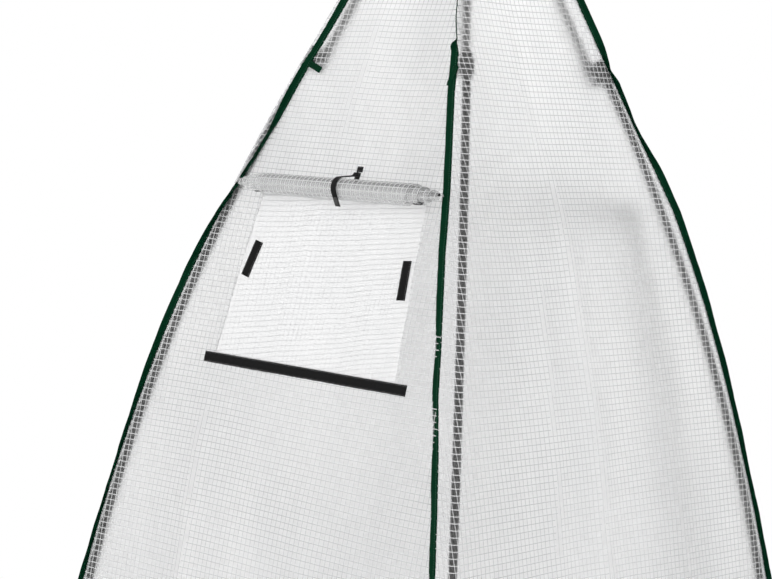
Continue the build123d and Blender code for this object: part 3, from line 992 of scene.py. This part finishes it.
# %% Webbing tabs
TAB_LENGTH, TAB_WIDTH, TAB_GAP = 40 * MM, 13 * MM, 0.9 * MM
TAB_SEAT = 2.2 * MM
TABS = {   # side it lies on, the seam's end of it, height in mm, and its dip in degrees
    "front_right": ("front", 1, 1758, 84), "front_left": ("front", -1, 1752, 21),
    "back_right": ("back", -1, 1748, 16), "back_left": ("back", 1, 1747, 24),
}


def on_tab(corner):
    """Hanging for a tab: u from its free end, aside from its middle line."""
    side, hand, height, dip = TABS[corner]
    base = along_at(height * MM)
    foot = Vector((seam_across(side, hand, base), base))
    way = Vector((-hand * cos(radians(dip)), -sin(radians(dip))))
    aside = Vector((-way.y, way.x)) * -hand

    def place(u, across, lift):
        spot, face = folded(u, TAB_LENGTH, TAB_GAP)
        flat_place = foot + way * (spot.x + face.x * lift) + aside * across
        curl = 2.5 * MM * (spot.x / TAB_LENGTH) ** 2 * (1 if dip < 60 else 0)
        return hang(side, flat_place.x, flat_place.y, TAB_SEAT + spot.y + face.y * lift + curl)

    return place


for corner in TABS:
    cloth, sewn = bmesh.new(), bmesh.new()
    tape(cloth, [(-TAB_LENGTH, 0), (TAB_LENGTH, 0)], -TAB_WIDTH / 2, TAB_WIDTH / 2, 0, ragged=0.4 * MM)
    for distance in (2 * MM - TAB_WIDTH / 2, TAB_WIDTH / 2 - 2 * MM):
        stitches(sewn, [(TAB_LENGTH / 3, 0), (TAB_LENGTH, 0)], distance, 3.6 * MM, 0.6 * MM)
    bound(f"tab_{corner}", cloth, sewn, on_tab(corner), 1.0 * MM, f"seam_tab_{corner}")

# %% [markdown]
# ## Hook-and-loop strips
# The flap closes on three black strips: a long one under the window and a short one beside each
# of its edges. Each is sewn down along both edges with a pale zigzag.

# %% Hook-and-loop strips
STRIP_THICKNESS, STRIP_LIFT = 1.6 * MM, 1.5 * MM
STRIPS = {   # middle line in mm across and up, from end to end, and width
    "bottom_strip": ((-274, 1158), (278, 1158), 21),
    "side_strip_left": ((-213, 1324), (-196, 1394), 22),
    "side_strip_right": ((213, 1318), (207, 1391), 21),
}
strip_pieces = []
for name, (start, stop, width) in STRIPS.items():
    line = [(x * MM, along_at(height * MM)) for x, height in (start, stop)]
    half = width * MM / 2
    pad, sewn = bmesh.new(), bmesh.new()
    tape(pad, line, -half, half, STRIP_LIFT, ragged=0.7 * MM)
    for hand in (-1, 1):
        stitches(sewn, line, hand * (half - 2 * MM), 4.6 * MM, STRIP_LIFT + 1.1 * MM, swing=1.9 * MM)
    strip_pieces += [
        piece(f"{name}_pile", pad, hooks, on_side("front"), STRIP_THICKNESS, [name], 0.4 * MM),
        piece(f"{name}_zigzag", sewn, pale_thread, on_side("front"), THREAD),
    ]

# %% [markdown]
# ## The rolled flap
# The flap is cut flat, a little wider at its lower edge, and rolled up from there. A spiral maps
# its length to turns, so the roll thins towards both ends as the inner turns are wider than the
# outer ones. The black strip on its lower edge ends up on the core and shows through at the ends.

# %% Rolled flap
FLAP_LENGTH, FLAP_COLUMNS, FLAP_ROWS = 0.33, 60, 110
FLAP_STRIP = 0.268   # half the length of the strip on its lower edge
ROLL_RADIUS, ROLL_PITCH, ROLL_START = 22.5 * MM, 4.63 * MM, radians(-144)
FLAP_HALF = [(0, 192), (0.25, 213), (0.6, 235), (1.0, 277)]   # half width in mm, by share of length
ROLL_NORMAL, ROLL_UPWARD = Vector((0.953, 0.303)), Vector((-0.303, 0.953))
ROLL_MIDDLE = Vector((335, 1512.5)) * MM
ROLL_TILT = 6 / 451


def round_roll(across, radius, angle):
    """Place at a distance and angle round the roll's axis, 0 being outward and 90 up."""
    spot = ROLL_MIDDLE + radius * (cos(angle) * ROLL_NORMAL + sin(angle) * ROLL_UPWARD)
    return Vector((across, -spot.x, spot.y + ROLL_TILT * (across - 20 * MM)))


def rolled(across, down, lift):
    """Place of a point of the flap, down being measured from the window's top edge."""
    left = max(0, ROLL_RADIUS**2 - down * ROLL_PITCH / pi)
    turned = (ROLL_RADIUS - sqrt(left)) * 2 * pi / ROLL_PITCH
    loose = 1.3 * rough(across * 9, turned * 0.5, 2) + 0.5 * rough(across * 40, turned, 6)
    return round_roll(across, sqrt(left) + lift + loose * MM, ROLL_START + turned)


def flap_half(down):
    return table(FLAP_HALF, down / FLAP_LENGTH) * MM


flap_sheet, flap_net, flap_strip, flap_tabs = (bmesh.new() for _ in range(4))
for v, share, up in grid(flap_sheet, FLAP_COLUMNS, FLAP_ROWS):
    down = (1 - up) * FLAP_LENGTH
    v.co = ((2 * share - 1) * flap_half(down), down, 0)
bmesh.ops.reverse_faces(flap_sheet, faces=flap_sheet.faces)
for level in evenly(0, FLAP_LENGTH, PITCH)[1:-1]:
    marks = evenly(-flap_half(level), flap_half(level), RUN)
    lay_yarn(flap_net, marks, level, YARN_WIDTH, False, OUTER_YARN)
for hand in (-1, 1):
    for column in range(0 if hand > 0 else 1, 23):
        start = next(d / 100 for d in range(101) if table(FLAP_HALF, d / 100) * MM > column * PITCH)
        if start < 0.95:
            marks = evenly(start * FLAP_LENGTH, FLAP_LENGTH, 5 * MM)
            lay_yarn(flap_net, marks, hand * column * PITCH, YARN_WIDTH, True, INNER_YARN)
strip_at = FLAP_LENGTH - 11 * MM
tape(flap_strip, [(-FLAP_STRIP, strip_at), (FLAP_STRIP, strip_at)], -10 * MM, 10 * MM, -0.9 * MM, 8)
for hand in (-1, 1):
    edge = [(hand * (flap_half(d) - 8 * MM), d) for d in (0.118, 0.143)]
    tape(flap_tabs, edge[::-1], -7 * MM, 7 * MM, 1.0 * MM, 6, ragged=0.6 * MM)
flap = piece("flap_film", flap_sheet, rolled_film, rolled, FILM_THICKNESS, ["rolled_flap"])
flap_pieces = [
    piece("flap_yarns", flap_net, yarn, rolled, YARN_THICKNESS),
    piece("flap_lower_strip", flap_strip, hooks, rolled, 1.2 * MM),
    piece("flap_edge_strips", flap_tabs, hooks, rolled, 1.2 * MM),
]

# %% [markdown]
# ## The tie strap
# A narrow webbing strap holds the roll. It is sewn to the panel above it, comes round the front
# and ends in a short tail with a hook patch, and a loop of the same webbing peeps out behind.

# %% Tie strap
STRAP_X, STRAP_WIDTH, STRAP_THICKNESS, STRAP_RADIUS = 24 * MM, 13 * MM, 1.5 * MM, 24.4 * MM
STRAP_STEP, STRAP_SWAY = 1.5 * MM, 8 * MM
BLOCK_HEIGHT, LOOP_TOP, LOOP_FOOT = 1.5525, 1.546, 1.527
WRAP_FROM, WRAP_TO, TAIL = radians(50), radians(-34), 29 * MM
strap_path = [Vector((-20.5, 40)) * MM, Vector((-20, 33)) * MM]
for angle in evenly(-WRAP_FROM, -WRAP_TO, radians(9)):
    strap_path.append(STRAP_RADIUS * Vector((cos(angle), -sin(angle))))
last_way = Vector((sin(WRAP_TO), -cos(WRAP_TO)))
strap_path += [strap_path[-1] + last_way * d for d in (TAIL / 3, 2 * TAIL / 3, TAIL)]
strap_line = softened(even_steps(strap_path, STRAP_STEP), 6)
strap_length = STRAP_STEP * (len(strap_line) - 2)


def on_strap(across, down, lift):
    """Place on the strap, down being measured along it from its sewn end."""
    spot = min(max(down / STRAP_STEP, 0), len(strap_line) - 2.001)
    low = int(spot)
    middle = strap_line[low].lerp(strap_line[low + 1], spot - low)
    way = (strap_line[low + 1] - strap_line[low]).normalized()
    middle = middle + lift * Vector((-way.y, way.x))
    out = ROLL_MIDDLE + middle.x * ROLL_NORMAL + middle.y * ROLL_UPWARD
    sway = STRAP_SWAY * sin(pi * down / strap_length)
    return Vector((STRAP_X + across - sway, -out.x, out.y))


strap_mesh, patch, block, loop, sewn = (bmesh.new() for _ in range(5))
tape(strap_mesh, [(0, strap_length), (0, 0)], -STRAP_WIDTH / 2, STRAP_WIDTH / 2, 0)
patch_line = [(0, strap_length - 1 * MM), (0, strap_length - 19 * MM)]
tape(patch, patch_line, -5.5 * MM, 5.5 * MM, 1.1 * MM, ragged=0.6 * MM)
block_line = [(STRAP_X + reach * MM, along_at(BLOCK_HEIGHT)) for reach in (-7, 7)]
tape(block, block_line, -6 * MM, 5 * MM, 2.2 * MM)
loop_line = [(STRAP_X - 1 * MM, along_at(LOOP_TOP)), (STRAP_X - 4 * MM, along_at(LOOP_FOOT))]
tape(loop, loop_line, -6 * MM, 6 * MM, 2 * MM, ragged=0.5 * MM)
for distance in (-4 * MM, 3 * MM):
    stitches(sewn, block_line, distance, 3.5 * MM, 3.9 * MM)
for distance in (-2.5 * MM, 0, 2.5 * MM):
    stitches(sewn, loop_line, distance, 4 * MM, 3.3 * MM)
piece("strap", strap_mesh, webbing, on_strap, STRAP_THICKNESS, ["tie_strap"], 0.3 * MM)
piece("strap_patch", patch, loops, on_strap, 0.9 * MM)
piece("strap_block", block, webbing, on_side("front"), 2.6 * MM, edge=0.4 * MM)
piece("strap_loop", loop, webbing, on_side("front"), 1.6 * MM, edge=0.3 * MM)
piece("strap_stitches", sewn, pale_thread, on_side("front"), THREAD)

# %% [markdown]
# ## Hems
# The bottom edge is bound in the same green tape, folded round the film from inside to outside
# and sewn once near its upper edge. The door leaf has a hem of its own between the zip's ends.

# %% Hems
HEM_HEIGHT, HEM_GAP = 40 * MM, 1.4 * MM


def on_hem(side):
    """Hanging for a hem: across the side, and u from the fold at the ground."""
    def place(across, u, lift):
        spot, face = folded(u, HEM_HEIGHT, HEM_GAP)
        along = HEM_HEIGHT + 1 * MM - spot.x - face.x * lift
        return hang(side, across, along, spot.y + face.y * lift)
    return place


corner_reach = {side: [seam_across(side, hand, HEM_HEIGHT / 2) for hand in (-1, 1)] for side in TURNS}
door_edge = DOOR[1][0]
hem_spans = {side: [(left, right)] for side, (left, right) in corner_reach.items()}
left, right = corner_reach["back"]
hem_spans["back"] = [(left, -door_edge - 1 * MM), (door_edge + 1 * MM, right)]
hem_spans["door"] = [(1 * MM - door_edge, door_edge - 1 * MM)]
for name, spans in hem_spans.items():
    cloth, sewn = bmesh.new(), bmesh.new()
    for left, right in spans:
        tape(cloth, [(left, 0), (right, 0)], -HEM_HEIGHT, HEM_HEIGHT, 0, columns=14)
        stitches(sewn, [(left, HEM_HEIGHT - 4 * MM), (right, HEM_HEIGHT - 4 * MM)], 0, 5 * MM, 0.7 * MM)
    hung = on_hem("back" if name == "door" else name)
    node = "door_hem" if name == "door" else f"base_hem_{name}"
    bound(f"hem_{name}", cloth, sewn, hung, 0.7 * MM, node)

# %% [markdown]
# ## The zip
# A coil zip runs up one side of the doorway, across its top and down the other. Two black tapes
# leave a slot that the coil bridges, and a slider stands near the top of each upright.

# %% Zip
ZIP_WIDTH, ZIP_SLOT, COIL_WIDTH, COIL_PITCH = 26 * MM, 1.2 * MM, 5.5 * MM, 2.8 * MM
SLIDER_DROP = 60   # how far the sliders stand below the doorway's top, in mm
zip_low = HEM_HEIGHT + 1 * MM
drawn_in = (DOOR[1][0] - DOOR[2][0]) / (DOOR[2][1] - DOOR[1][1])
zip_foot = DOOR[1][0] - drawn_in * (zip_low - DOOR[1][1])
zip_line = [(zip_foot, zip_low), DOOR[2], DOOR[3], (-zip_foot, zip_low)]
bands, coil, sliders = (bmesh.new() for _ in range(3))
for near, far in ((-ZIP_WIDTH / 2, -ZIP_SLOT), (ZIP_SLOT, ZIP_WIDTH / 2)):
    tape(bands, zip_line, near, far, 1.4 * MM)
for spot, aside in stations(zip_line, COIL_PITCH):
    stitch(coil, spot - aside * COIL_WIDTH / 2, spot + aside * COIL_WIDTH / 2, 1.7 * MM, 2.9 * MM)
for hand in (-1, 1):
    for size, drop, lift in (((9, 13, 3.4), 0, 4.2), ((4.5, 24, 1.3), 15, 6.4)):
        made = bmesh.ops.create_cube(sliders, size=1)["verts"]
        edges = {e for v in made for e in v.link_edges}
        for v in made:
            high = DOOR[2][1] - (SLIDER_DROP + drop) * MM
            middle = hand * (DOOR[2][0] + drawn_in * (DOOR[2][1] - high))
            x, y, z = middle + v.co.x * size[0] * MM, high + v.co.y * size[1] * MM, lift + v.co.z * size[2]
            v.co = (x, y, z * MM)
        bmesh.ops.bevel(sliders, geom=list(edges), offset=0.5 * MM, segments=2, profile=0.5,
                        affect="EDGES", material=-1)
zip_pieces = [
    piece("zip_tapes", bands, webbing, on_side("back"), 0.8 * MM, ["door_zip"]),
    piece("zip_coil", coil, nylon, on_side("back"), 0.9 * MM),
    piece("zip_sliders", sliders, nylon, on_side("back"), smooth=False),
]

# %% [markdown]
# ## Closing the script
# The flat size and area that each film and gauze sheet was cut to are printed.

# %% Sheets and sizes
for side, (sheet, net) in panels.items():
    width, length, area = cut_sizes[sheet.name]
width, length, area = cut_sizes["door_film"]
width, length, area = cut_sizes["window_gauze"]
width, length, area = cut_sizes["flap_film"]
for name, (width, length, area) in cut_sizes.items():
    if name.endswith(("_film", "_gauze")):
        print(name, "is cut from", round(width, 3), "x", round(length, 3), "m, area", round(area, 3))
